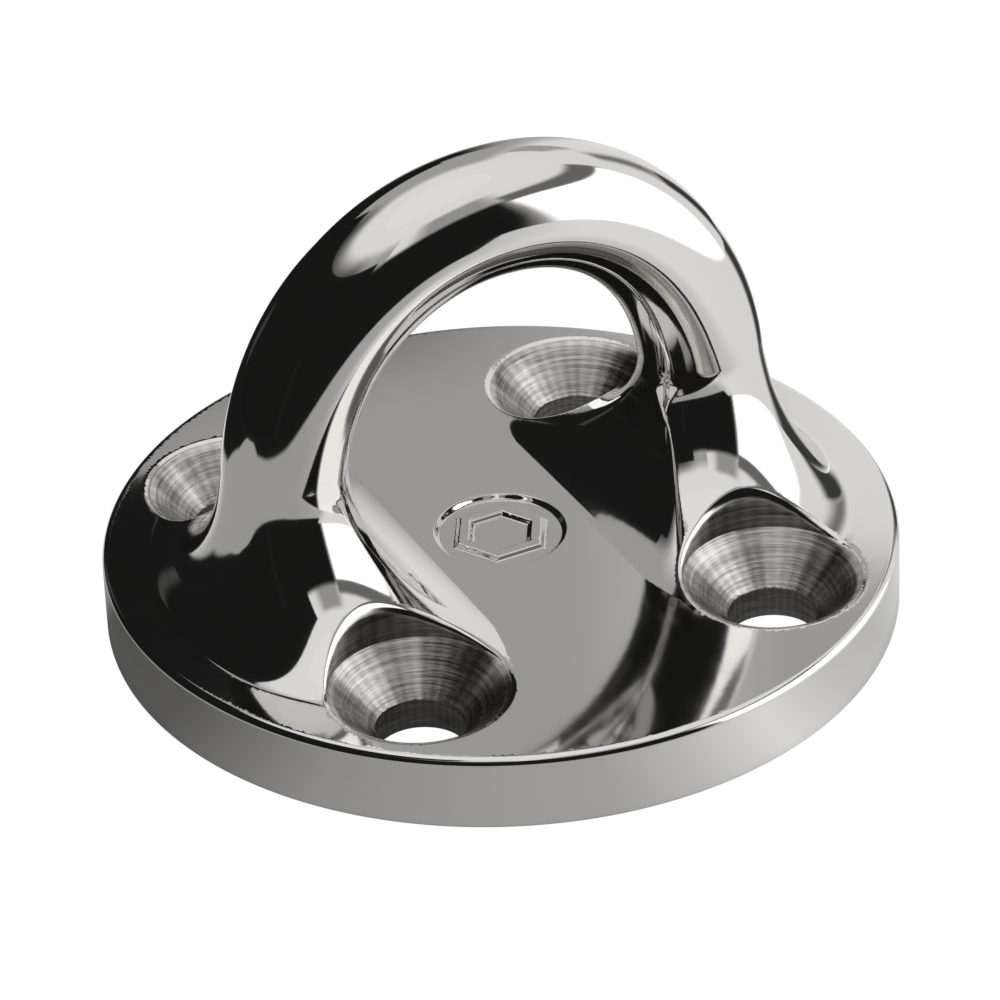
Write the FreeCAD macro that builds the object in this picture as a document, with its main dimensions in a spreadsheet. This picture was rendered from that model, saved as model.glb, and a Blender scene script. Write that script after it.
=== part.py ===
import FreeCAD, Part
import math
import os
import Sketcher

# Round-base pad eye: a thick round plate with four countersunk screw holes, and a bow of
# round bar that grows out of it on two flared feet. +Z points up from the plate, +X runs
# across the two feet and +Y runs through the eye. The origin is the centre of the plate's
# underside. All lengths are in millimetres.

DIMENSIONS = (
    ("PlateRadius", 30.0, "outside radius of the round base plate"),
    ("PlateThickness", 5.9, "thickness of the base plate"),
    ("RimRound", 0.6, "rounding of the plate's top rim"),
    ("UndersideChamfer", 0.3, "chamfer of the plate's bottom edge"),
    ("HoleOffsetX", 14.55, "screw hole centre from the middle, across the feet"),
    ("HoleOffsetY", 15.6, "screw hole centre from the middle, through the eye"),
    ("ScrewClearance", 6.6, "diameter of the through hole, for an M6 screw"),
    ("CountersinkDiameter", 13.2, "diameter of the countersink and of its cutter"),
    ("CountersinkAngle", 90.0, "included angle of the countersink"),
    ("BarRadius", 4.7, "radius of the bow's round bar"),
    ("BowHalfWidth", 17.35, "middle of the bow to the centre line of a leg"),
    ("BowHeight", 27.5, "plate top to the bar's centre line at the crown"),
    ("StraightLeg", 8.1, "height over the plate where the crown's curve starts"),
    ("FootHeight", 11.33, "height over the plate where the flare ends in round bar"),
    ("FootShift", 4.79, "how far a foot's base is moved in towards the eye"),
    ("FootSpreadX", 9.47, "growth of the foot across the feet, from bar to base"),
    ("FootSpreadY", 15.03, "growth of the foot through the eye, from bar to base"),
    ("ToeAngle", 10.0, "slope of the flare where it meets the plate, in degrees"),
    ("EyeCorner", 7.85, "inside corner radius of the eye, between plate and leg"),
    ("EyeSink", 0.1, "how far the corner's curve runs in below the plate's top"),
    ("BadgeRadius", 4.8, "radius of the shallow recess in the plate's middle"),
    ("BadgeDepth", 0.4, "depth of that recess"),
    ("HexOuter", 3.7, "middle to an outside corner of the raised hexagonal ring"),
    ("HexInner", 2.5, "middle to an inside corner of the hexagonal ring"),
    ("HexHeight", 0.3, "height of the hexagonal ring over the recess's floor"),
)

SHEET = "Dimensions"
FLARE_STEPS = 8          # cross-sections that a foot's flare is lofted through
SHIFT_POWER = 1.5        # the foot's middle moves in by its growth to this power
HEX_CORNERS = 6
CLEAR = 40.0             # how far a cutter runs past the metal it cuts


def make_sheet(doc):
    """Write the driving dimensions into the spreadsheet, one named cell each."""
    sheet = doc.addObject("Spreadsheet::Sheet", SHEET)
    for row, (name, value, meaning) in enumerate(DIMENSIONS, start=1):
        sheet.set(f"A{row}", str(value))
        sheet.setAlias(f"A{row}", name)
        sheet.set(f"B{row}", meaning)
    doc.recompute()
    return sheet


def cells(formula):
    """Put the sheet's name before every dimension that a formula names."""
    for name in sorted((entry[0] for entry in DIMENSIONS), key=len, reverse=True):
        formula = formula.replace(name, f"{SHEET}.{name}")
    return formula


def bind(thing, **formulas):
    """Bind properties of an object to formulas of the driving dimensions."""
    for prop, formula in formulas.items():
        thing.setExpression(prop.replace("__", "."), cells(formula))


def size(thing, formula):
    """The present value of a formula of the driving dimensions."""
    return float(thing.evalExpression(cells(formula)))


def origin_plane(body, role):
    """One of a body's own origin planes, by its role."""
    return next(part for part in body.Origin.OriginFeatures if part.Role == role)


def sketch_on(body, name, role, height=None):
    """A sketch on an origin plane of the body, raised by a formula when one is given."""
    sketch = body.newObject("Sketcher::SketchObject", name)
    sketch.AttachmentSupport = [(origin_plane(body, role), "")]
    sketch.MapMode = "FlatFace"
    if height:
        bind(sketch, AttachmentOffset__Base__z=height)
    return sketch


def constrain(sketch, formula, kind, *where):
    """Add a dimension to a sketch and bind it to a formula."""
    index = sketch.addConstraint(Sketcher.Constraint(kind, *where, size(sketch, formula)))
    sketch.setExpression(f"Constraints[{index}]", cells(formula))


def place_point(sketch, point, sign_x, formula_x, sign_y, formula_y):
    """Hold a sketch point at a signed distance from the sketch's origin, each way."""
    origin = (-1, 1)
    for kind, sign, formula in (("DistanceX", sign_x, formula_x), ("DistanceY", sign_y, formula_y)):
        if sign > 0:
            constrain(sketch, formula, kind, *origin, *point)
        else:
            constrain(sketch, formula, kind, *point, *origin)


def centred_circle(sketch, radius):
    """A circle about the sketch's origin."""
    circle = sketch.addGeometry(Part.Circle(FreeCAD.Vector(), FreeCAD.Vector(0, 0, 1), 1.0))
    sketch.addConstraint(Sketcher.Constraint("Coincident", circle, 3, -1, 1))
    constrain(sketch, radius, "Radius", circle)


# ---- base plate ---------------------------------------------------------------------------

def base_plate(doc, sheet):
    """The round plate: rim rounding, four countersunk holes and the badge recess."""
    body = doc.addObject("PartDesign::Body", "BasePlate")
    body.Label = "base_plate"

    outline = sketch_on(body, "PlateOutline", "XY_Plane")
    centred_circle(outline, "PlateRadius")
    disc = body.newObject("PartDesign::Pad", "PlateDisc")
    disc.Profile = outline
    bind(disc, Length="PlateThickness")
    doc.recompute()

    rim = body.newObject("PartDesign::Fillet", "TopRim")
    rim.Base = (disc, [circle_edge(disc.Shape, size(sheet, "PlateThickness"))])
    bind(rim, Radius="RimRound")
    doc.recompute()

    edge = body.newObject("PartDesign::Chamfer", "BottomEdge")
    edge.Base = (rim, [circle_edge(rim.Shape, 0.0)])
    bind(edge, Size="UndersideChamfer")
    doc.recompute()

    screw_holes(doc, body, sheet)
    badge(doc, body)
    return body


def circle_edge(shape, height):
    """The name of the outermost round edge that lies at a height."""
    flat = [
        (edge.BoundBox.XLength, index)
        for index, edge in enumerate(shape.Edges, start=1)
        if abs(edge.BoundBox.ZMin - height) < 1e-6 and edge.BoundBox.ZLength < 1e-6
    ]
    return f"Edge{max(flat)[1]}"


def screw_holes(doc, body, sheet):
    """Four countersunk holes on a rectangle, drilled down from the plate's top."""
    layout = sketch_on(body, "HoleLayout", "XY_Plane", "PlateThickness")
    first_x = size(sheet, "HoleOffsetX")
    first_y = size(sheet, "HoleOffsetY")
    for side_x in (-1, 1):
        for side_y in (-1, 1):
            centre = FreeCAD.Vector(side_x * first_x, side_y * first_y, 0)
            circle = layout.addGeometry(Part.Circle(centre, FreeCAD.Vector(0, 0, 1), 1.0))
            place_point(layout, (circle, 3), side_x, "HoleOffsetX", side_y, "HoleOffsetY")
            constrain(layout, "ScrewClearance / 2", "Radius", circle)
    doc.recompute()

    holes = body.newObject("PartDesign::Hole", "ScrewHoles")
    holes.Profile = layout
    holes.ThreadType = "None"
    holes.DepthType = "ThroughAll"
    holes.HoleCutType = "Countersink"
    holes.HoleCutCustomValues = True
    bind(
        holes,
        Diameter="ScrewClearance",
        HoleCutDiameter="CountersinkDiameter",
        HoleCutCountersinkAngle="CountersinkAngle",
    )
    doc.recompute()


def badge(doc, body):
    """A shallow round recess with a raised hexagonal ring, a plain ornament."""
    circle = sketch_on(body, "BadgeOutline", "XY_Plane", "PlateThickness")
    centred_circle(circle, "BadgeRadius")
    recess = body.newObject("PartDesign::Pocket", "BadgeRecess")
    recess.Profile = circle
    bind(recess, Length="BadgeDepth")
    doc.recompute()

    outline = sketch_on(body, "HexOutline", "XY_Plane", "PlateThickness - BadgeDepth")
    for reach in ("HexOuter", "HexInner"):
        hexagon(outline, reach)
    ring = body.newObject("PartDesign::Pad", "RaisedHexagon")
    ring.Profile = outline
    bind(ring, Length="HexHeight")
    doc.recompute()


def hexagon(sketch, reach):
    """A closed hexagon about the sketch's origin, its corners at a given distance from it."""
    first = sketch.GeometryCount
    turns = [math.radians(step * 360 / HEX_CORNERS) for step in range(HEX_CORNERS)]
    corners = [FreeCAD.Vector(math.cos(turn), math.sin(turn), 0) for turn in turns]
    present = size(sketch, reach)
    for step, corner in enumerate(corners):
        after = corners[(step + 1) % HEX_CORNERS]
        sketch.addGeometry(Part.LineSegment(corner * present, after * present))
    for step, corner in enumerate(corners):
        before = (step - 1) % HEX_CORNERS
        sketch.addConstraint(Sketcher.Constraint("Coincident", first + before, 2, first + step, 1))
        place_point(
            sketch,
            (first + step, 1),
            1 if corner.x > 0 else -1,
            f"{reach} * {abs(corner.x):.6f}",
            1 if corner.y > 0 else -1,
            f"{reach} * {abs(corner.y):.6f}",
        )


# ---- bow ----------------------------------------------------------------------------------

def bow(doc, sheet):
    """The crown of the eye: round bar bent over half an ellipse, down to the feet."""
    body = doc.addObject("PartDesign::Body", "Bow")
    body.Label = "bow"

    half_width = size(sheet, "BowHalfWidth")
    crown = size(sheet, "BowHeight - StraightLeg")
    spring_line = size(sheet, "PlateThickness + StraightLeg")
    spine = sketch_on(body, "BowSpine", "XZ_Plane")
    ellipse = Part.Ellipse(
        FreeCAD.Vector(0, spring_line + crown, 0),
        FreeCAD.Vector(half_width, spring_line, 0),
        FreeCAD.Vector(0, spring_line, 0),
    )
    arc = spine.addGeometry(Part.ArcOfEllipse(ellipse, -math.pi / 2, math.pi / 2))
    spine.exposeInternalGeometry(arc)
    major, minor = arc + 1, arc + 2
    spine.addConstraint(Sketcher.Constraint("Vertical", major))
    spine.addConstraint(Sketcher.Constraint("PointOnObject", arc, 3, -2))
    constrain(spine, "PlateThickness + StraightLeg", "DistanceY", -1, 1, arc, 3)
    constrain(spine, "2 * (BowHeight - StraightLeg)", "Distance", major)
    constrain(spine, "2 * BowHalfWidth", "Distance", minor)
    spine.addConstraint(Sketcher.Constraint("PointOnObject", arc, 1, minor))
    spine.addConstraint(Sketcher.Constraint("PointOnObject", arc, 2, minor))

    section = sketch_on(body, "BarSection", "XY_Plane", "PlateThickness + StraightLeg")
    circle = section.addGeometry(
        Part.Circle(FreeCAD.Vector(half_width, 0, 0), FreeCAD.Vector(0, 0, 1), 1.0)
    )
    section.addConstraint(Sketcher.Constraint("PointOnObject", circle, 3, -1))
    constrain(section, "BowHalfWidth", "DistanceX", -1, 1, circle, 3)
    constrain(section, "BarRadius", "Radius", circle)
    doc.recompute()

    bar = body.newObject("PartDesign::AdditivePipe", "BentBar")
    bar.Profile = section
    bar.Spine = (spine, ["Edge1"])
    doc.recompute()

    below = sketch_on(body, "BelowFeet", "XY_Plane", "PlateThickness + FootHeight")
    centred_circle(below, "PlateRadius")
    trim = body.newObject("PartDesign::Pocket", "FootSeam")
    trim.Profile = below
    trim.Type = "ThroughAll"
    doc.recompute()
    return body


# ---- feet ---------------------------------------------------------------------------------

def flare_section(doc, name, angle):
    """One oval cross-section of a foot, where the flare's surface slopes at this angle.

    The flare's upright profile is a quarter of an ellipse: level with the plate at zero
    degrees and upright against the bar at ninety. The section's middle moves in towards
    the eye slowly at first and faster near the plate. Over the straight part of the leg
    it also follows the start of the bow's curve.
    """
    height = f"FootHeight * (cos(ToeAngle) - cos({angle})) / cos(ToeAngle)"
    growth = f"max(0; 1 - sin({angle}))"
    shift = f"FootShift * pow({growth}; {SHIFT_POWER})"
    rise = f"max(0; ({height} - StraightLeg) / (BowHeight - StraightLeg))"
    oval = doc.addObject("Part::Ellipse", name)
    oval.Placement.Rotation = FreeCAD.Rotation(FreeCAD.Vector(0, 0, 1), 90)
    bind(
        oval,
        MajorRadius=f"BarRadius + FootSpreadY * {growth}",
        MinorRadius=f"BarRadius + FootSpreadX * {growth}",
        Placement__Base__x=f"-BowHalfWidth * sqrt(1 - {rise} * {rise}) + {shift}",
        Placement__Base__z=f"PlateThickness + {height}",
    )
    return oval


def flare(doc):
    """The left foot's flare as one loft from the oval at the plate up to the round bar."""
    sections = []
    for step in range(FLARE_STEPS):
        share = step / (FLARE_STEPS - 1)
        angle = f"(ToeAngle + (90 - ToeAngle) * {share:.6f})"
        sections.append(flare_section(doc, f"FlareSection{step + 1}", angle))
    loft = doc.addObject("Part::Loft", "FootFlare")
    loft.Sections = sections
    loft.Solid = True
    return loft


def eye_channel(doc, sheet):
    """The straight passage through the eye, with a round corner at the foot of the leg."""
    corner = size(sheet, "EyeCorner")
    wall = size(sheet, "BowHalfWidth - BarRadius")
    floor = size(sheet, "PlateThickness - EyeSink")
    top = floor + CLEAR
    profile = doc.addObject("Sketcher::SketchObject", "EyeProfile")
    profile.Placement.Rotation = FreeCAD.Rotation(FreeCAD.Vector(1, 0, 0), 90)
    centre = FreeCAD.Vector(corner - wall, floor + corner, 0)
    arc_start = FreeCAD.Vector(-wall, floor + corner, 0)
    arc_end = FreeCAD.Vector(corner - wall, floor, 0)
    middle_floor = FreeCAD.Vector(0, floor, 0)
    middle_top = FreeCAD.Vector(0, top, 0)
    wall_top = FreeCAD.Vector(-wall, top, 0)
    bend = Part.Arc(
        arc_start,
        centre + FreeCAD.Vector(-corner, -corner, 0) * math.sqrt(0.5),
        arc_end,
    )
    profile.addGeometry(bend)
    for start, end in ((arc_end, middle_floor), (middle_floor, middle_top),
                       (middle_top, wall_top), (wall_top, arc_start)):
        profile.addGeometry(Part.LineSegment(start, end))
    profile.addConstraint(Sketcher.Constraint("Tangent", 0, 2, 1, 1))
    profile.addConstraint(Sketcher.Constraint("Coincident", 1, 2, 2, 1))
    profile.addConstraint(Sketcher.Constraint("Coincident", 2, 2, 3, 1))
    profile.addConstraint(Sketcher.Constraint("Coincident", 3, 2, 4, 1))
    profile.addConstraint(Sketcher.Constraint("Tangent", 4, 2, 0, 1))
    profile.addConstraint(Sketcher.Constraint("Horizontal", 1))
    profile.addConstraint(Sketcher.Constraint("PointOnObject", 2, 1, -2))
    profile.addConstraint(Sketcher.Constraint("Vertical", 2))
    profile.addConstraint(Sketcher.Constraint("Horizontal", 3))
    profile.addConstraint(Sketcher.Constraint("Vertical", 4))
    constrain(profile, "EyeCorner", "Radius", 0)
    constrain(profile, "PlateThickness - EyeSink", "DistanceY", -1, 1, 2, 1)
    constrain(profile, "BowHalfWidth - BarRadius", "DistanceX", 3, 2, 2, 2)
    constrain(profile, str(CLEAR), "DistanceY", 2, 1, 2, 2)

    channel = doc.addObject("Part::Extrusion", "EyeChannel")
    channel.Base = profile
    channel.DirMode = "Normal"
    channel.Symmetric = True
    channel.Solid = True
    bind(channel, LengthFwd="4 * PlateRadius")
    return channel


def cutter_bore(doc, name, side):
    """The round wall that the countersink's cutter leaves where it enters a foot."""
    bore = doc.addObject("Part::Cylinder", name)
    bore.Height = CLEAR
    bind(
        bore,
        Radius="CountersinkDiameter / 2",
        Placement__Base__x="-HoleOffsetX",
        Placement__Base__y=f"{side} * HoleOffsetY",
    )
    return bore


def feet(doc, sheet):
    """The flared left foot, cut by the eye and by two screw holes, and its mirror image."""
    cutters = doc.addObject("Part::MultiFuse", "FootCutters")
    cutters.Shapes = [
        eye_channel(doc, sheet),
        cutter_bore(doc, "FrontBore", -1),
        cutter_bore(doc, "BackBore", 1),
    ]
    left = doc.addObject("Part::Cut", "LeftFoot")
    left.Label = "left_foot"
    left.Base = flare(doc)
    left.Tool = cutters
    right = doc.addObject("Part::Mirroring", "RightFoot")
    right.Label = "right_foot"
    right.Source = left
    right.Normal = FreeCAD.Vector(1, 0, 0)
    doc.recompute()
    return left, right


# ---- checks and output ----------------------------------------------------------------------

def check_document(doc, nodes):
    """Stop on any failed object and on any sub-part that isn't one valid solid."""
    for item in doc.Objects:
        if "Invalid" in item.State or "Error" in item.State:
            raise RuntimeError(f"{item.Name} failed: {item.State}")
    for node in nodes:
        if node.Shape.isNull() or not node.Shape.isValid() or len(node.Shape.Solids) != 1:
            raise RuntimeError(f"{node.Label} isn't one valid solid")


def main():
    doc = FreeCAD.newDocument("PadEye")
    sheet = make_sheet(doc)
    nodes = [base_plate(doc, sheet), bow(doc, sheet), *feet(doc, sheet)]
    doc.recompute()
    check_document(doc, nodes)
    os.makedirs("parts", exist_ok=True)
    for node in nodes:
        node.Shape.exportStep(f"parts/{node.Label}.step")
        box = node.Shape.BoundBox
        print(
            f"{node.Label}: volume {node.Shape.Volume:.1f} mm3, "
            f"x {box.XMin:.2f} to {box.XMax:.2f}, y {box.YMin:.2f} to {box.YMax:.2f}, "
            f"z {box.ZMin:.2f} to {box.ZMax:.2f}"
        )


main()
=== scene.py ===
import itertools
import math

import bmesh
import bpy
import numpy as np
from mathutils import Matrix


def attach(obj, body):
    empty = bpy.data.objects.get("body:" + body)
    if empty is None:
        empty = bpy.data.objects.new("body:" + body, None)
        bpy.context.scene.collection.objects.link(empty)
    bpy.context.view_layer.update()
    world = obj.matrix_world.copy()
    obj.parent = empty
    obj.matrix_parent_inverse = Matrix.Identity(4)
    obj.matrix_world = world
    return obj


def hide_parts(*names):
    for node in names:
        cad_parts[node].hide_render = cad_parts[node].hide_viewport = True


# Mirror-polished round-base pad eye on a white table. One implicit surface describes the
# whole forging, so that plate, feet and screw holes flow into each other without a seam.
# Lengths are in millimetres and z = 0 is the plate's top face until a mesh is written out.

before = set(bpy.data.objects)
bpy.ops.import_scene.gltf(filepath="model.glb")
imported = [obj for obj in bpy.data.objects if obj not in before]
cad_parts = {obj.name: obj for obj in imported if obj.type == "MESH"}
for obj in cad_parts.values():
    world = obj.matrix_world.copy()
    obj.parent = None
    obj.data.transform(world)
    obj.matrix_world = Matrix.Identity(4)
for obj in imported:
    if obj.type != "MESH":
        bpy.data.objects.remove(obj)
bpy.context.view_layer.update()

MM = 0.001
PLATE_RADIUS = 29.8
PLATE_THICKNESS = 5.9
RIM_ROUND = 0.6
UNDER_ROUND = 0.3

HALF_WIDTH = 17.36            # centre line of a leg from the middle
CROWN = 27.51                 # centre line of the bar at the top of the bow
STRAIGHT = 8.11               # where the legs begin to lean in
BOW_POWER = 2.073             # superellipse power of the bow's centre line
BAR_LOW = 4.63                # bar radius at the plate
BAR_HIGH = 4.78               # bar radius at the crown

FOOT_TOP = 11.33              # where a foot's flare has run out in round bar
FLARE_POWER = 2.02            # superellipse power of the flare's profile
FLARE_SHIFT = 4.79            # how far the flare's base moves in towards the eye
SHIFT_POWER = 1.5             # how late on its way down it does so
SPREAD_X = 9.47               # how far the base stands out from the bar
SPREAD_Y = 15.03
EYE_CORNER = 7.85             # inside corner radius between the plate and a leg
# How far that corner would run in below the plate, so that the two meet in a crease.
EYE_SINK = 0.12
EYE_WALL_LEAN = 0.012         # slope with which the eye's wall leans off the leg
CREASE_ROUND = 0.5            # edge between a foot's flare and the eye's corner, at the plate

HOLE_X = 14.55
HOLE_Y = 15.6
HOLE_RADIUS = 3.3
HEAD_RADIUS = 6.6             # countersink at the plate's top face
HOLE_ROUND = 0.5

BADGE_RADIUS = 4.8
BADGE_DEPTH = 0.38
HEX_OUTER = 3.7               # to the corners of the raised ring in the badge
HEX_INNER = 2.5
HEX_SIDES = 6
HEX_HEIGHT = 0.32
BADGE_BEVEL = 0.42            # width of the smooth edges of recess and ring

SEAM = 0.02                   # height over the plate where a foot's piece begins
NUDGE = 0.002                 # step for slopes of the surface
FLARE_ROUNDS = 8              # rounds of Newton's method in the flare, and its first guess
FLARE_START = 0.3
REFINE_TURNS = (10, 10, 8)    # an edge over which the surface turns by more degrees is split
ON_CUT = 1e-4                 # how near to a flat cut a vertex counts as on it
TINY = 1e-9                   # keeps a division away from zero

PLATE_CELL = 0.3              # spacing of the grid that the plate is cast on
PLATE_GRID = 30.45            # half that grid's width
FOOT_CELL = 0.25
FOOT_GRID_X = (4.11, 28.1)    # where a foot's grid begins and ends, from the middle
FOOT_GRID_Y = 20.13           # half its width along y
FOOT_GRID_LOW = -0.31         # the height at which it begins
FOOT_GRID_SPARE = 0.6         # how far it reaches past the top of the foot
BOW_RINGS = 240
BOW_SIDES = 96
BOW_SPARE = 1.5               # how far below the top of a foot the bar's sweep begins


# ---- the forging's shape -------------------------------------------------------------

def leg_centre(z):
    """Distance of a leg's centre line from the middle plane at a height."""
    share = np.clip((z - STRAIGHT) / (CROWN - STRAIGHT), 0, 0.98)
    return HALF_WIDTH * (1 - share ** BOW_POWER) ** (1 / BOW_POWER)


def bar_radius(z):
    """Radius of the bow's bar, a little fuller at the crown."""
    return BAR_LOW + (BAR_HIGH - BAR_LOW) * np.clip(z / CROWN, 0, 1)


def flare_reach(dx, y, bar):
    """How far out in the flare a point lies, 0 on the bar and 1 at the toe, and how fast it grows.

    Every outline of the flare is an oval, and Newton's method finds the one through the point.
    """
    reach = np.full(np.shape(dx), FLARE_START)
    for _ in range(FLARE_ROUNDS):
        wide, long = bar + SPREAD_X * reach, bar + SPREAD_Y * reach
        shift = FLARE_SHIFT * np.maximum(reach, 0) ** SHIFT_POWER
        across, along = (dx + shift) / wide, y / long
        ratio = np.hypot(across, along) + TINY
        shifting = SHIFT_POWER * FLARE_SHIFT * np.maximum(reach, 0) ** (SHIFT_POWER - 1)
        slope = across * (shifting - across * SPREAD_X) / wide - along ** 2 * SPREAD_Y / long
        slope = np.minimum(slope / ratio, -0.01)
        reach = np.clip(reach + (ratio - ratio ** 2) / slope, -0.3, 4)
    rate = np.hypot(across / wide, along / long) / ratio / -slope
    return reach, rate


def flare(x, y, z):
    """Signed distance to the flared leg on its plane, below zero in the metal."""
    reach, rate = flare_reach(np.abs(x) - leg_centre(z), y, bar_radius(z))
    out = np.maximum(1 - reach, 0)
    up = np.maximum(1 - z / FOOT_TOP, 0)
    size = (out ** FLARE_POWER + up ** FLARE_POWER) ** (1 / FLARE_POWER) + TINY
    sideways, upwards = ((part / size) ** (FLARE_POWER - 1) for part in (out, up))
    steep = np.hypot(sideways * rate, upwards / FOOT_TOP)
    return (1 - size) / np.maximum(steep, 0.02)


def eye_room(x, z):
    """Signed distance to the free room of the eye, whose floor and walls meet in a round corner."""
    wall = leg_centre(z) - bar_radius(z) - np.abs(x) - EYE_WALL_LEAN * np.maximum(z, 0)
    floor = z + EYE_SINK
    past_wall, past_floor = (np.maximum(EYE_CORNER - room, 0) for room in (wall, floor))
    return np.hypot(past_wall, past_floor) - EYE_CORNER


def screw_hole(x, y, z):
    """Signed distance to a countersunk hole and the straight way its cutter came down."""
    off_axis = np.hypot(np.abs(x) - HOLE_X, np.abs(y) - HOLE_Y)
    cone = (off_axis - HEAD_RADIUS - z) / math.sqrt(2)
    return np.minimum(off_axis - HOLE_RADIUS, np.maximum(cone, off_axis - HEAD_RADIUS))


def bevel(distance):
    """1 inside an outline and 0 outside it, with a smooth edge."""
    t = np.clip(0.5 - distance / BADGE_BEVEL, 0, 1)
    return t * t * (3 - 2 * t)


def badge(x, y):
    """Height of the round recess in the middle of the plate and the hexagonal ring in it."""
    flat = math.cos(math.pi / HEX_SIDES)
    across = np.maximum(np.abs(x) * flat + np.abs(y) / 2, np.abs(y))
    ring = bevel(across - HEX_OUTER * flat) - bevel(across - HEX_INNER * flat)
    return HEX_HEIGHT * ring - BADGE_DEPTH * bevel(np.hypot(x, y) - BADGE_RADIUS)


def rounded_both(a, b, radius):
    """Where both fields are below zero, with the outer edge between them rounded."""
    over = np.hypot(np.maximum(a + radius, 0), np.maximum(b + radius, 0))
    return np.minimum(np.maximum(a, b), -radius) + over


def forging(points):
    """Signed distance to the plate with both feet, below zero in the metal."""
    x, y, z = points[..., 0], points[..., 1], points[..., 2]
    raised = z - badge(x, y)
    edge = CREASE_ROUND * np.clip(1 - z / FOOT_TOP, 0.01, 1)
    metal = rounded_both(flare(x, y, raised), -eye_room(x, raised), edge)
    metal = np.minimum(metal, raised)
    metal = rounded_both(metal, np.hypot(x, y) - PLATE_RADIUS, RIM_ROUND)
    metal = rounded_both(metal, -screw_hole(x, y, z), HOLE_ROUND)
    return rounded_both(metal, -PLATE_THICKNESS - z, UNDER_ROUND)


def slopes(points):
    """Slope of the forging's field at each point."""
    steps = np.eye(3) * NUDGE
    return np.stack([forging(points + s) - forging(points - s) for s in steps], -1) / (2 * NUDGE)


def normals(points):
    """The forging's outward normals at points on its surface."""
    slope = slopes(points)
    return slope / np.linalg.norm(slope, axis=-1, keepdims=True)


def settle(points, rounds=4):
    """Move points onto the forging's surface, in steps that can't run away."""
    for _ in range(rounds):
        slope = slopes(points)
        length2 = np.maximum((slope ** 2).sum(-1, keepdims=True), 0.05)
        points = points - np.clip(forging(points)[:, None] / length2, -0.3, 0.3) * slope
    return points


# ---- meshes --------------------------------------------------------------------------

def surface_net(axes):
    """The forging's surface inside a grid, with a vertex in each cell and a quad round each edge
    that it crosses."""
    inside = forging(np.stack(np.meshgrid(*axes, indexing="ij"), -1)) < 0
    cells = [n - 1 for n in inside.shape]
    corners = [
        inside[i:i + cells[0], j:j + cells[1], k:k + cells[2]]
        for i, j, k in itertools.product((0, 1), repeat=3)
    ]
    crossed = np.any(corners, axis=0) & ~np.all(corners, axis=0)
    number = np.full(cells, -1)
    number[crossed] = np.arange(crossed.sum())
    places = np.nonzero(crossed)
    points = np.stack([(a[p] + a[p + 1]) / 2 for a, p in zip(axes, places)], -1)
    quads = []
    for axis in range(3):
        one, two = (axis + 1) % 3, (axis + 2) % 3
        before = np.take(inside, range(cells[axis]), axis)
        after = np.take(inside, range(1, cells[axis] + 1), axis)
        edge = np.stack(np.nonzero(before != after), -1)
        edge = edge[(edge[:, one] > 0) & (edge[:, two] > 0)]
        edge = edge[(edge[:, one] < cells[one]) & (edge[:, two] < cells[two])]
        leaving = before[tuple(edge.T)]
        around = []
        for back_one, back_two in ((0, 0), (1, 0), (1, 1), (0, 1)):
            cell = edge.copy()
            cell[:, one] -= back_one
            cell[:, two] -= back_two
            around.append(number[tuple(cell.T)])
        around = np.stack(around, -1)
        quads.append(np.where(leaving[:, None], around, around[:, ::-1]))
    return points, np.concatenate(quads)


def bmesh_points(bm):
    """The places of a mesh's vertices."""
    return np.array([v.co for v in bm.verts])


def set_points(bm, points):
    """Move a mesh's vertices to new places."""
    for vertex, point in zip(bm.verts, points):
        vertex.co = point


def refine(bm, turn_deg):
    """Split the edges over which the surface turns by more than an angle, and settle the points."""
    facing = normals(settle(bmesh_points(bm), rounds=1))
    bm.verts.index_update()
    limit = math.cos(math.radians(turn_deg))
    pairs = np.array([(e.verts[0].index, e.verts[1].index) for e in bm.edges])
    turned = (facing[pairs[:, 0]] * facing[pairs[:, 1]]).sum(-1) < limit
    edges = [e for e, wanted in zip(bm.edges, turned) if wanted]
    bmesh.ops.subdivide_edges(bm, edges=edges, cuts=1, use_grid_fill=True)
    set_points(bm, settle(bmesh_points(bm)))


def level(element, height):
    """Whether every vertex of an edge or face lies at a height."""
    return all(abs(vertex.co.z - height) < ON_CUT for vertex in element.verts)


def cut_flat(bm, height, keep_above):
    """Cut a mesh off at a height and close it with a flat cap."""
    geometry = list(bm.verts) + list(bm.edges) + list(bm.faces)
    bmesh.ops.bisect_plane(
        bm, geom=geometry, dist=1e-6, plane_co=(0, 0, height), plane_no=(0, 0, 1),
        clear_inner=keep_above, clear_outer=not keep_above,
    )
    rim = [e for e in bm.edges if e.is_boundary and level(e, height)]
    outward = (0, 0, -1 if keep_above else 1)
    bmesh.ops.triangle_fill(bm, edges=rim, use_beauty=False, normal=outward)


def grid_line(low, high, step):
    """Evenly spaced values from low to high."""
    return np.linspace(low, high, int(round((high - low) / step)) + 1)


def cast_piece(name, axes, cuts):
    """A closed piece of the forging between flat cuts, given as (height, keep_above)."""
    points, quads = surface_net(axes)
    bm = bmesh.new()
    for point in settle(points, rounds=5):
        bm.verts.new(point)
    bm.verts.ensure_lookup_table()
    for quad in quads:
        bm.faces.new([bm.verts[i] for i in quad])
    for turn_deg in REFINE_TURNS:
        refine(bm, turn_deg)
    for height, keep_above in cuts:
        cut_flat(bm, height, keep_above)
    bmesh.ops.triangulate(bm, faces=[f for f in bm.faces if len(f.verts) > 4])
    bm.normal_update()
    bm.faces.index_update()
    caps = {f.index for f in bm.faces if any(level(f, height) for height, _ in cuts)}
    mesh = bpy.data.meshes.new(name)
    bm.to_mesh(mesh)
    bm.free()
    return finish_mesh(name, mesh, caps, normals)


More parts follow.
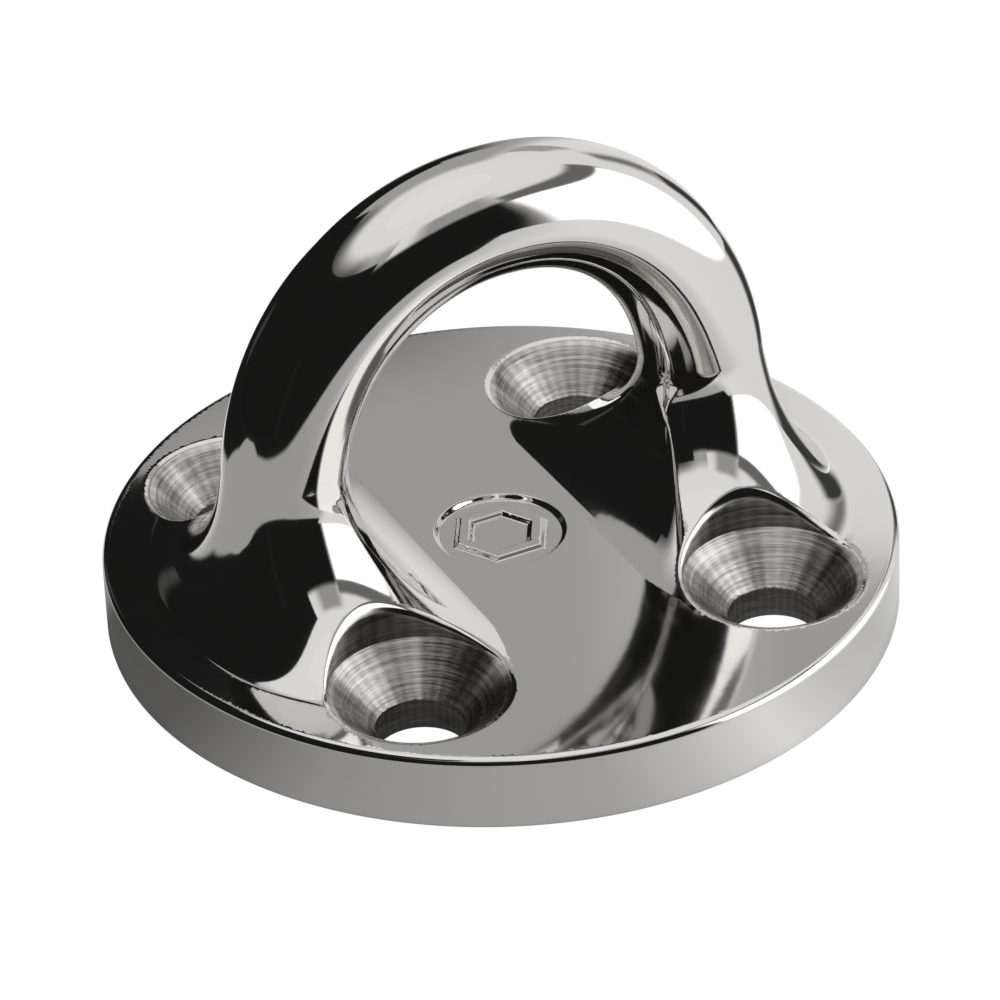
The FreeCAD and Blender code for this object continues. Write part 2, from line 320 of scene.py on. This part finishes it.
def finish_mesh(name, mesh, caps, normals_at):
    """Give a mesh its exact normals, scale it to metres over the plate's underside and show it."""
    points = np.empty(len(mesh.vertices) * 3)
    mesh.vertices.foreach_get("co", points)
    points = points.reshape(-1, 3)
    normals = normals_at(points)
    corner = np.empty(len(mesh.loops), int)
    mesh.loops.foreach_get("vertex_index", corner)
    loop_normals = normals[corner]
    for polygon in mesh.polygons:
        if polygon.index in caps:
            loop_normals[list(polygon.loop_indices)] = polygon.normal
    mesh.transform(Matrix.Translation((0, 0, PLATE_THICKNESS * MM)) @ Matrix.Scale(MM, 4))
    mesh.polygons.foreach_set("use_smooth", [True] * len(mesh.polygons))
    mesh.normals_split_custom_set(loop_normals.tolist())
    piece = bpy.data.objects.new(name, mesh)
    bpy.context.scene.collection.objects.link(piece)
    return piece


def bow_line(count):
    """Points of the bow's centre line, evenly spaced, from below one foot's top to the other."""
    angle = np.linspace(0, math.pi, 4000)
    x = -HALF_WIDTH * np.sign(np.cos(angle)) * np.abs(np.cos(angle)) ** (2 / BOW_POWER)
    z = STRAIGHT + (CROWN - STRAIGHT) * np.abs(np.sin(angle)) ** (2 / BOW_POWER)
    keep = z > FOOT_TOP - BOW_SPARE
    x, z = x[keep], z[keep]
    run = np.concatenate([[0], np.cumsum(np.hypot(np.diff(x), np.diff(z)))])
    even = np.linspace(0, run[-1], count)
    return np.interp(even, run, x), np.interp(even, run, z)


def swept_bow(name):
    """The bow's round bar between the tops of the two feet."""
    x, z = bow_line(BOW_RINGS)
    tangent = np.stack([np.gradient(x), np.gradient(z)], -1)
    tangent /= np.linalg.norm(tangent, axis=-1, keepdims=True)
    turn = np.linspace(0, 2 * math.pi, BOW_SIDES, endpoint=False)[None, :, None]
    out = np.stack([-tangent[:, 1], np.zeros(BOW_RINGS), tangent[:, 0]], -1)
    ring = out[:, None] * np.cos(turn) + np.array([0, 1, 0]) * np.sin(turn)
    points = np.stack([x, 0 * x, z], -1)[:, None] + ring * bar_radius(z)[:, None, None]
    bm = bmesh.new()
    layer = bm.verts.layers.float_vector.new("outward")
    grid = []
    for ring_points, ring_normals in zip(points, ring):
        row = []
        for point, normal in zip(ring_points, ring_normals):
            vertex = bm.verts.new(point)
            vertex[layer] = normal
            row.append(vertex)
        grid.append(row)
    for low, high in zip(grid, grid[1:]):
        for i in range(BOW_SIDES):
            j = (i + 1) % BOW_SIDES
            bm.faces.new((low[i], low[j], high[j], high[i]))
    bmesh.ops.recalc_face_normals(bm, faces=bm.faces)
    cut_flat(bm, FOOT_TOP, keep_above=True)
    bm.faces.index_update()
    bm.normal_update()
    caps = {f.index for f in bm.faces if level(f, FOOT_TOP)}
    mesh = bpy.data.meshes.new(name)
    bm.to_mesh(mesh)
    bm.free()
    outward = np.empty(len(mesh.vertices) * 3)
    mesh.attributes["outward"].data.foreach_get("vector", outward)
    outward = outward.reshape(-1, 3)
    outward /= np.linalg.norm(outward, axis=-1, keepdims=True)
    mesh.attributes.remove(mesh.attributes["outward"])
    return finish_mesh(name, mesh, caps, lambda points: outward)


def make_pieces():
    """Cast or sweep each piece. The plate's grid is finer where its rims are."""
    plate_z = np.concatenate([
        grid_line(-PLATE_THICKNESS - 0.5, -PLATE_THICKNESS + 0.7, 0.2),
        grid_line(-PLATE_THICKNESS + 1.2, -1.2, 0.5),
        grid_line(-0.9, 0.7, 0.2),
    ])
    plate_line = grid_line(-PLATE_GRID, PLATE_GRID, PLATE_CELL)
    plate = cast_piece("plate_body", (plate_line, plate_line, plate_z), [(SEAM, False)])
    inner, outer = FOOT_GRID_X
    foot_y = grid_line(-FOOT_GRID_Y, FOOT_GRID_Y, FOOT_CELL)
    foot_z = grid_line(FOOT_GRID_LOW, FOOT_TOP + FOOT_GRID_SPARE, FOOT_CELL)
    foot_cuts = [(SEAM, True), (FOOT_TOP, False)]
    right_x, left_x = grid_line(inner, outer, FOOT_CELL), grid_line(-outer, -inner, FOOT_CELL)
    right = cast_piece("right_foot_flare", (right_x, foot_y, foot_z), foot_cuts)
    left = cast_piece("left_foot_flare", (left_x, foot_y, foot_z), foot_cuts)
    bow = swept_bow("bow_bar")
    return {"base_plate": plate, "right_foot": right, "left_foot": left, "bow": bow}


# ---- materials -----------------------------------------------------------------------

STEEL = (0.71, 0.70, 0.68, 1)
RING_PITCH = 0.4              # between two grooves of the countersink's cutter
CHATTER_COUNT = 34            # light and dark strokes the cutter left round a countersink
TURNED_DARK = (0.22, 0.21, 0.19, 1)
TURNED_LIGHT = (0.72, 0.70, 0.67, 1)
BUFFED = 0.065                # roughness of the polish round a screw hole
CUT_EDGE = 0.06               # width over which a countersink's cut surface turns into polish


def add(nodes, kind, operation=None, **values):
    """A shader node with its operation and plain input values by socket name."""
    node = nodes.new(kind)
    if operation:
        node.operation = operation
    for socket, value in values.items():
        node.inputs[socket.replace("_", " ")].default_value = value
    return node


def sums(tree, operation, *values):
    """The outcome of a sum on sockets or plain numbers."""
    node = add(tree.nodes, "ShaderNodeMath", operation)
    for socket, value in zip(node.inputs, values):
        if isinstance(value, bpy.types.NodeSocket):
            tree.links.new(value, socket)
        else:
            socket.default_value = value
    return node.outputs[0]


def steel_material(name, roughness):
    """Plain steel to build a finish on: the material, its node tree and its shader."""
    material = bpy.data.materials.new(name)
    material.use_nodes = True
    tree = material.node_tree
    shader = tree.nodes["Principled BSDF"]
    shader.inputs["Base Color"].default_value = STEEL
    shader.inputs["Metallic"].default_value = 1.0
    shader.inputs["Roughness"].default_value = roughness
    return material, tree, shader


def soft_step(tree, value, edge, softness):
    """0 below an edge and 1 over it, smooth over the softness on each side."""
    node = add(tree.nodes, "ShaderNodeMapRange", From_Min=edge - softness, From_Max=edge + softness)
    node.interpolation_type = "SMOOTHSTEP"
    tree.links.new(value, node.inputs["Value"])
    return node.outputs["Result"]


def grain(tree, scale, detail, stretch=(1, 1, 1)):
    """Noise over the object's own coordinates in millimetres, from 0 to 1."""
    place = add(tree.nodes, "ShaderNodeTexCoord").outputs["Object"]
    mapping = add(tree.nodes, "ShaderNodeMapping")
    mapping.inputs["Scale"].default_value = [part / MM for part in stretch]
    tree.links.new(place, mapping.inputs["Vector"])
    noise = add(tree.nodes, "ShaderNodeTexNoise", Scale=scale, Detail=detail, Roughness=0.55)
    tree.links.new(mapping.outputs[0], noise.inputs["Vector"])
    return noise.outputs["Fac"]


def spread(tree, value, low, high):
    """A value from 0 to 1 spread over a range."""
    return sums(tree, "MULTIPLY_ADD", value, high - low, low)


def relief(tree, shader, height, depth_mm, strength):
    """Give a shader a relief from a height between 0 and 1."""
    bump = add(tree.nodes, "ShaderNodeBump", Strength=strength, Distance=depth_mm * MM)
    tree.links.new(height, bump.inputs["Height"])
    tree.links.new(bump.outputs[0], shader.inputs["Normal"])


def polished_stainless(name, low, high):
    """Buffed steel with faint polishing haze and a trace of orange peel."""
    material, tree, shader = steel_material(name, (low + high) / 2)
    haze = grain(tree, scale=0.35, detail=5)
    tree.links.new(spread(tree, haze, low, high), shader.inputs["Roughness"])
    relief(tree, shader, grain(tree, scale=0.5, detail=3), depth_mm=0.02, strength=0.12)
    return material


def blend(tree, share, first, second):
    """A colour between two, each a plain one or a socket."""
    mix = add(tree.nodes, "ShaderNodeMix")
    mix.data_type = "RGBA"
    inputs = {socket.identifier: socket for socket in mix.inputs}
    tree.links.new(share, inputs["Factor_Float"])
    for name, colour in (("A_Color", first), ("B_Color", second)):
        if isinstance(colour, bpy.types.NodeSocket):
            tree.links.new(colour, inputs[name])
        else:
            inputs[name].default_value = colour
    return next(socket for socket in mix.outputs if socket.identifier == "Result_Color")


def machined_steel():
    """Steel as a countersink cutter leaves it: torn rings, fainter strokes and a fan of light."""
    material, tree, shader = steel_material("machined_steel", 0.3)
    place = add(tree.nodes, "ShaderNodeTexCoord").outputs["Object"]
    parts = add(tree.nodes, "ShaderNodeSeparateXYZ")
    tree.links.new(place, parts.inputs[0])
    sides = [sums(tree, "SIGN", parts.outputs[axis]) for axis in ("X", "Y")]
    across, along = (
        sums(tree, "SUBTRACT", parts.outputs[axis], sums(tree, "MULTIPLY", side, middle * MM))
        for axis, side, middle in zip(("X", "Y"), sides, (HOLE_X, HOLE_Y))
    )
    squares = sums(tree, "MULTIPLY_ADD", across, across, sums(tree, "MULTIPLY", along, along))
    off_axis = sums(tree, "SQRT", squares)
    beside = soft_step(tree, off_axis, (HEAD_RADIUS + CUT_EDGE) * MM, CUT_EDGE * MM)
    cut = sums(tree, "SUBTRACT", 1.0, beside)
    depth = sums(tree, "ADD", off_axis, parts.outputs["Z"])
    turn = sums(tree, "ARCTAN2", along, across)

    outward = add(tree.nodes, "ShaderNodeCombineXYZ")
    tree.links.new(across, outward.inputs["X"])
    tree.links.new(along, outward.inputs["Y"])
    tree.links.new(outward.outputs[0], shader.inputs["Tangent"])
    tree.links.new(sums(tree, "MULTIPLY", cut, 0.8), shader.inputs["Anisotropic"])

    unrolled = add(tree.nodes, "ShaderNodeCombineXYZ")
    tree.links.new(sums(tree, "DIVIDE", depth, RING_PITCH * MM), unrolled.inputs["X"])
    tree.links.new(sums(tree, "MULTIPLY", turn, 0.7), unrolled.inputs["Y"])
    tree.links.new(sums(tree, "MULTIPLY_ADD", sides[0], 5.3, sides[1]), unrolled.inputs["Z"])
    rings = add(tree.nodes, "ShaderNodeTexNoise", Scale=1.0, Detail=6, Roughness=0.7)
    tree.links.new(unrolled.outputs[0], rings.inputs["Vector"])
    chatter = sums(tree, "SINE", sums(tree, "MULTIPLY", turn, float(CHATTER_COUNT)))
    marks = sums(tree, "MULTIPLY_ADD", chatter, 0.04, rings.outputs["Fac"])

    relief(tree, shader, sums(tree, "MULTIPLY", marks, cut), depth_mm=0.05, strength=0.6)
    rough = sums(tree, "SUBTRACT", spread(tree, marks, 0.06, 0.36), BUFFED)
    tree.links.new(sums(tree, "MULTIPLY_ADD", rough, cut, BUFFED), shader.inputs["Roughness"])
    turned = blend(tree, soft_step(tree, marks, 0.5, 0.25), TURNED_DARK, TURNED_LIGHT)
    tree.links.new(blend(tree, cut, STEEL, turned), shader.inputs["Base Color"])
    return material


def ground_steel():
    """The underside, ground flat on a belt."""
    material, tree, shader = steel_material("ground_steel", 0.35)
    lines = grain(tree, scale=1.0, detail=5, stretch=(0.05, 4, 1))
    relief(tree, shader, lines, depth_mm=0.02, strength=0.4)
    tree.links.new(spread(tree, lines, 0.28, 0.45), shader.inputs["Roughness"])
    return material


def round_a_hole(points):
    """Which points lie in a screw hole or on its rounded rim."""
    off_axis = np.hypot(np.abs(points[:, 0]) - HOLE_X, np.abs(points[:, 1]) - HOLE_Y)
    return off_axis < HEAD_RADIUS + 2 * HOLE_ROUND


def paint(piece, finishes):
    """Give a piece its finishes: polished, machined round the holes and ground underneath."""
    for finish in finishes:
        piece.data.materials.append(finish)
    count = len(piece.data.polygons)
    centres = np.empty(count * 3)
    piece.data.polygons.foreach_get("center", centres)
    centres = centres.reshape(-1, 3) / MM
    below = centres[:, 2] < NUDGE
    index = np.where(round_a_hole(centres), 1, np.where(below, 2, 0))
    index = np.minimum(index, len(finishes) - 1)
    piece.data.polygons.foreach_set("material_index", index.tolist())


pieces = make_pieces()
mirror = polished_stainless("polished_stainless_bright", 0.03, 0.07)
buffed = polished_stainless("polished_stainless_plate", 0.04, 0.09)
bored = machined_steel()
finishes = {
    "base_plate": (buffed, bored, ground_steel()),
    "left_foot": (mirror, bored),
    "right_foot": (mirror, bored),
    "bow": (mirror,),
}
for node, piece in pieces.items():
    paint(piece, finishes[node])
    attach(piece, "root")
    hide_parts(node)


# ---- table, light and camera ---------------------------------------------------------

CAMERA_TURN_DEG = 25.84       # the studio and the camera are turned by this about the object
TENT_RADIUS = 0.15            # metres, as all of the studio but its panels and near cards
TENT_HEIGHT = 0.45
TENT_SIDES = 96
OVERHEAD = 1.0                # brightness of the cloth over the tent
TABLE_SIZE = 4
TABLE_DROP = 0.0004           # how far the table that the camera sees lies below the plate
GLOW_DROP = 0.0002            # and the one that only the steel sees
TENT_GAP = 0.0001             # between the tent and the height z = 0
NO_END = 1000

# What stands round the object, painted one over the other on the tent's wall. Bearings are
# in degrees clockwise from the direction in which the camera looks, heights in millimetres
# over the plate. Each row: from bearing, to bearing, its softness, from height, to height, its
# softness, brightness.
TENT_PANELS = (
    (8, 180, 6, -60, NO_END, 1, 0.92),      # lighter cloth at the back on the right
    (8, 26, 4, 101, 150, 5, 0.44),          # a strip of the grey back cloth
    (-180, 180, 1, 210, NO_END, 40, 0.95),  # light cloth over everything
    (128, 166, 8, 120, 250, 25, 0.38),      # grey ceiling behind the camera, right of it
    (-180, -142, 9, -60, 140, 12, 0.012),   # dark room behind the camera, left of it
    (-155, -46, 12, -60, 200, 60, 0.012),   # large black flag on the left
    (-50, -14, 6, -60, 80, 9, 0.012),       # low black flag at the back
    (-20, -2, 5, 18, 74, 9, 0.012),         # the end of that flag
    (128, 180, 4, -60, 146, 12, 0.012),     # dark room behind the camera, right of it
    (34, 47, 3, -60, 45, 8, 0.05),          # black card beside the soft box
    (33, 44, 5, 45, 110, 9, 0.22),          # the same card where it fades
    (60, 128, 2, 128, 182, 12, 0.17),       # grey card over the soft box
    (62, 127, 1.5, -5, 132, 3, 1.6),        # the soft box
)
BACK_CLOTH = 0.44             # brightness of what no panel covers

# Black cards bent round the object near by: radius, then bearing, bottom and top edge, the
# lengths in millimetres.
NEAR_CARDS = {
    "back_card": (60, ((-80, 22, 58), (-45, 24, 58), (-30, 27, 57), (-22, 28, 56), (-13, 28, 54))),
    "left_card": (50, ((-168, 30, 66), (-120, 30, 68), (-60, 30, 68), (-48, 30, 66))),
}

# The table as the steel sees it, with painted light and shade: bearing and brightness, even in
# between, close to the plate and further out. Close to the plate it is painted darker on the left,
# where the object shades it, and lighter on the right.
TABLE_NEAR = (
    (-180, 0.46), (-150, 0.36), (-135, 0.23), (-120, 0.13), (-92, 0.10), (-60, 0.9), (60, 0.9),
    (90, 0.7), (105, 0.62), (120, 0.72), (135, 0.95), (150, 0.68), (165, 0.48), (180, 0.46),
)
TABLE_FAR = (
    (-180, 0.42), (-75, 0.42), (-45, 0.7), (-20, 1.2), (36, 1.2), (44, 0.05), (54, 0.05), (60, 0.9),
    (125, 0.95), (140, 0.5), (180, 0.42),
)
TABLE_NEAR_EDGE = 0.045       # distance at which near turns into far
TABLE_NEAR_SOFT = 0.008
CARD_BLACK = 0.012
UNDER_PLATE_SHADE = 0.15            # share of the table's light left in the screw holes, as painted shade under the plate
UNDER_SHADE_EDGE = 0.029            # distance from the middle up to which the plate takes that light, painted as shade
UNDER_SHADE_SOFT = 0.002
# Bearing and distance in metres at which the lit table ends and black cloth begins.
TABLE_END = (
    (-180, 0.09), (-163, 0.09), (-139, 0.1), (-125, 0.113), (-110, 0.18), (-95, 0.1), (-77, 0.06),
    (-60, 0.048), (-24, 0.048), (-18, 1.0), (128, 1.0), (134, 0.08), (169, 0.088), (180, 0.09),
)
TABLE_END_SOFT = 0.06         # share of that distance over which it ends


def between(tree, value, low, high, softness):
    """1 between two edges and 0 outside them. An edge at half a turn has no end."""
    inside = 1.0
    if low > -180:
        inside = soft_step(tree, value, low, softness)
    if high < 180:
        beyond = sums(tree, "SUBTRACT", 1.0, soft_step(tree, value, high, softness))
        inside = sums(tree, "MULTIPLY", inside, beyond)
    return inside


def bearing_and_place(tree):
    """The bearing in degrees round the object's middle, and the separate coordinates in metres."""
    place = add(tree.nodes, "ShaderNodeNewGeometry").outputs["Position"]
    turned = add(tree.nodes, "ShaderNodeVectorRotate")
    turned.rotation_type = "Z_AXIS"
    turned.inputs["Angle"].default_value = math.radians(CAMERA_TURN_DEG)
    tree.links.new(place, turned.inputs["Vector"])
    parts = add(tree.nodes, "ShaderNodeSeparateXYZ")
    tree.links.new(turned.outputs[0], parts.inputs[0])
    turn = sums(tree, "ARCTAN2", parts.outputs["X"], parts.outputs["Y"])
    return sums(tree, "DEGREES", turn), parts.outputs


def glow(name, brightness):
    """An emission material whose brightness is a number, or a function that paints it."""
    material = bpy.data.materials.new(name)
    material.use_nodes = True
    tree = material.node_tree
    tree.nodes.clear()
    emission = add(tree.nodes, "ShaderNodeEmission")
    output = add(tree.nodes, "ShaderNodeOutputMaterial")
    tree.links.new(emission.outputs[0], output.inputs["Surface"])
    if callable(brightness):
        tree.links.new(brightness(tree), emission.inputs["Strength"])
    else:
        emission.inputs["Strength"].default_value = brightness
    return material


def paint_tent(tree):
    """Brightness of the tent's wall, panel over panel."""
    bearing, place = bearing_and_place(tree)
    height = sums(tree, "SUBTRACT", sums(tree, "DIVIDE", place["Z"], MM), PLATE_THICKNESS)
    brightness = BACK_CLOTH
    for low, high, side_soft, bottom, top, end_soft, shine in TENT_PANELS:
        cover = between(tree, bearing, low, high, side_soft)
        cover = sums(tree, "MULTIPLY", cover, soft_step(tree, height, bottom, end_soft))
        if top < NO_END:
            above = soft_step(tree, height, top, end_soft)
            cover = sums(tree, "MULTIPLY", cover, sums(tree, "SUBTRACT", 1.0, above))
        change = sums(tree, "SUBTRACT", shine, brightness)
        brightness = sums(tree, "MULTIPLY_ADD", change, cover, brightness)
    return brightness


def round_ramp(tree, bearing, rows):
    """A value by bearing, straight between the rows of a table."""
    ramp = add(tree.nodes, "ShaderNodeValToRGB")
    stops = ramp.color_ramp.elements
    while len(stops) < len(rows):
        stops.new(1.0)
    for stop, (degrees, value) in zip(stops, rows):
        stop.position = (degrees + 180) / 360
        stop.color = (value, value, value, 1)
    share = sums(tree, "DIVIDE", sums(tree, "ADD", bearing, 180.0), 360.0)
    tree.links.new(share, ramp.inputs["Fac"])
    return ramp.outputs["Color"]


def paint_table(tree):
    """Brightness of the table, painted light and shade: lit near and far, then black cloth, and
    painted shade under the plate.
    """
    bearing, place = bearing_and_place(tree)
    tables = (TABLE_NEAR, TABLE_FAR, TABLE_END)
    near, far, end = (round_ramp(tree, bearing, rows) for rows in tables)
    squares = sums(tree, "MULTIPLY", place["X"], place["X"])
    away = sums(tree, "SQRT", sums(tree, "MULTIPLY_ADD", place["Y"], place["Y"], squares))
    outside = soft_step(tree, away, TABLE_NEAR_EDGE, TABLE_NEAR_SOFT)
    lit = sums(tree, "MULTIPLY_ADD", sums(tree, "SUBTRACT", far, near), outside, near)
    beyond = soft_step(tree, sums(tree, "DIVIDE", away, end), 1.0, TABLE_END_SOFT)
    dimmed = sums(tree, "MULTIPLY_ADD", sums(tree, "SUBTRACT", CARD_BLACK, lit), beyond, lit)
    # painted shade of the plate on the table, seen through the screw holes
    unshaded = spread(tree, soft_step(tree, away, UNDER_SHADE_EDGE, UNDER_SHADE_SOFT), UNDER_PLATE_SHADE, 1.0)
    return sums(tree, "MULTIPLY", dimmed, unshaded)


def staged(name, material, seen_by_camera):
    """Make the newest object part of the studio, seen either by the camera or by the steel."""
    thing = bpy.context.object
    thing.name = name
    thing.data.materials.append(material)
    thing.visible_camera = seen_by_camera
    thing.visible_glossy = not seen_by_camera
    thing.visible_diffuse = not seen_by_camera


def near_card(name, radius, edges):
    """A black card bent round the object, seen only in the steel."""
    mesh = bpy.data.meshes.new(name)
    degrees, bottom, top = zip(*edges)
    points = []
    for bearing in np.arange(degrees[0], degrees[-1] + 1):
        angle = math.radians(bearing + CAMERA_TURN_DEG)
        for edge in (bottom, top):
            height = PLATE_THICKNESS + np.interp(bearing, degrees, edge)
            points.append((radius * math.sin(angle), radius * math.cos(angle), height))
    faces = [(i, i + 2, i + 3, i + 1) for i in range(0, len(points) - 2, 2)]
    mesh.from_pydata((np.array(points) * MM).tolist(), [], faces)
    card = bpy.data.objects.new(name, mesh)
    bpy.context.scene.collection.objects.link(card)
    bpy.context.view_layer.objects.active = card
    staged(name, glow(name, CARD_BLACK), seen_by_camera=False)


def studio():
    """The white table, its glow and the tent that the steel reflects, and the light from above."""
    bpy.ops.mesh.primitive_plane_add(size=TABLE_SIZE, location=(0, 0, -TABLE_DROP))
    staged("table_top", glow("white_table", 1.0), seen_by_camera=True)
    bpy.ops.mesh.primitive_plane_add(size=TABLE_SIZE, location=(0, 0, -GLOW_DROP))
    staged("table_in_reflection", glow("table_glow", paint_table), seen_by_camera=False)
    bpy.ops.mesh.primitive_cylinder_add(
        vertices=TENT_SIDES, radius=TENT_RADIUS, depth=TENT_HEIGHT, end_fill_type="NOTHING",
        location=(0, 0, TENT_HEIGHT / 2 + TENT_GAP),
    )
    staged("tent_wall", glow("tent_cloth", paint_tent), seen_by_camera=False)
    for name, (radius, edges) in NEAR_CARDS.items():
        near_card(name, radius, edges)
    world = bpy.data.worlds.new("overhead_cloth")
    world.use_nodes = True
    background = world.node_tree.nodes["Background"]
    background.inputs["Strength"].default_value = OVERHEAD
    background.inputs["Color"].default_value = (1, 1, 1, 1)
    bpy.context.scene.world = world
    bpy.context.scene.view_settings.view_transform = "Standard"


CAMERA_TILT_DEG = 32.90
CAMERA_ROLL_DEG = -2.345
CAMERA_LENS = 207.67
CAMERA_SENSOR = 36
CAMERA_DISTANCE = 0.431457    # metres from the middle of the plate's top face
CAMERA_SLIDE = (-0.000018, 0.002196)


def camera():
    """A long lens that looks down on the plate's middle, slightly rolled."""
    data = bpy.data.cameras.new("camera")
    data.sensor_width = CAMERA_SENSOR
    data.lens = CAMERA_LENS
    data.clip_start, data.clip_end = 0.01, 20
    turn, tilt = math.radians(CAMERA_TURN_DEG), math.radians(CAMERA_TILT_DEG)
    look = (
        Matrix.Rotation(-turn, 4, "Z")
        @ Matrix.Rotation(math.pi / 2 - tilt, 4, "X")
        @ Matrix.Rotation(math.radians(CAMERA_ROLL_DEG), 4, "Z")
    )
    cam = bpy.data.objects.new("camera", data)
    cam.matrix_world = (
        Matrix.Translation((0, 0, PLATE_THICKNESS * MM))
        @ look
        @ Matrix.Translation((*CAMERA_SLIDE, CAMERA_DISTANCE))
    )
    bpy.context.scene.collection.objects.link(cam)
    bpy.context.scene.camera = cam


studio()
camera()
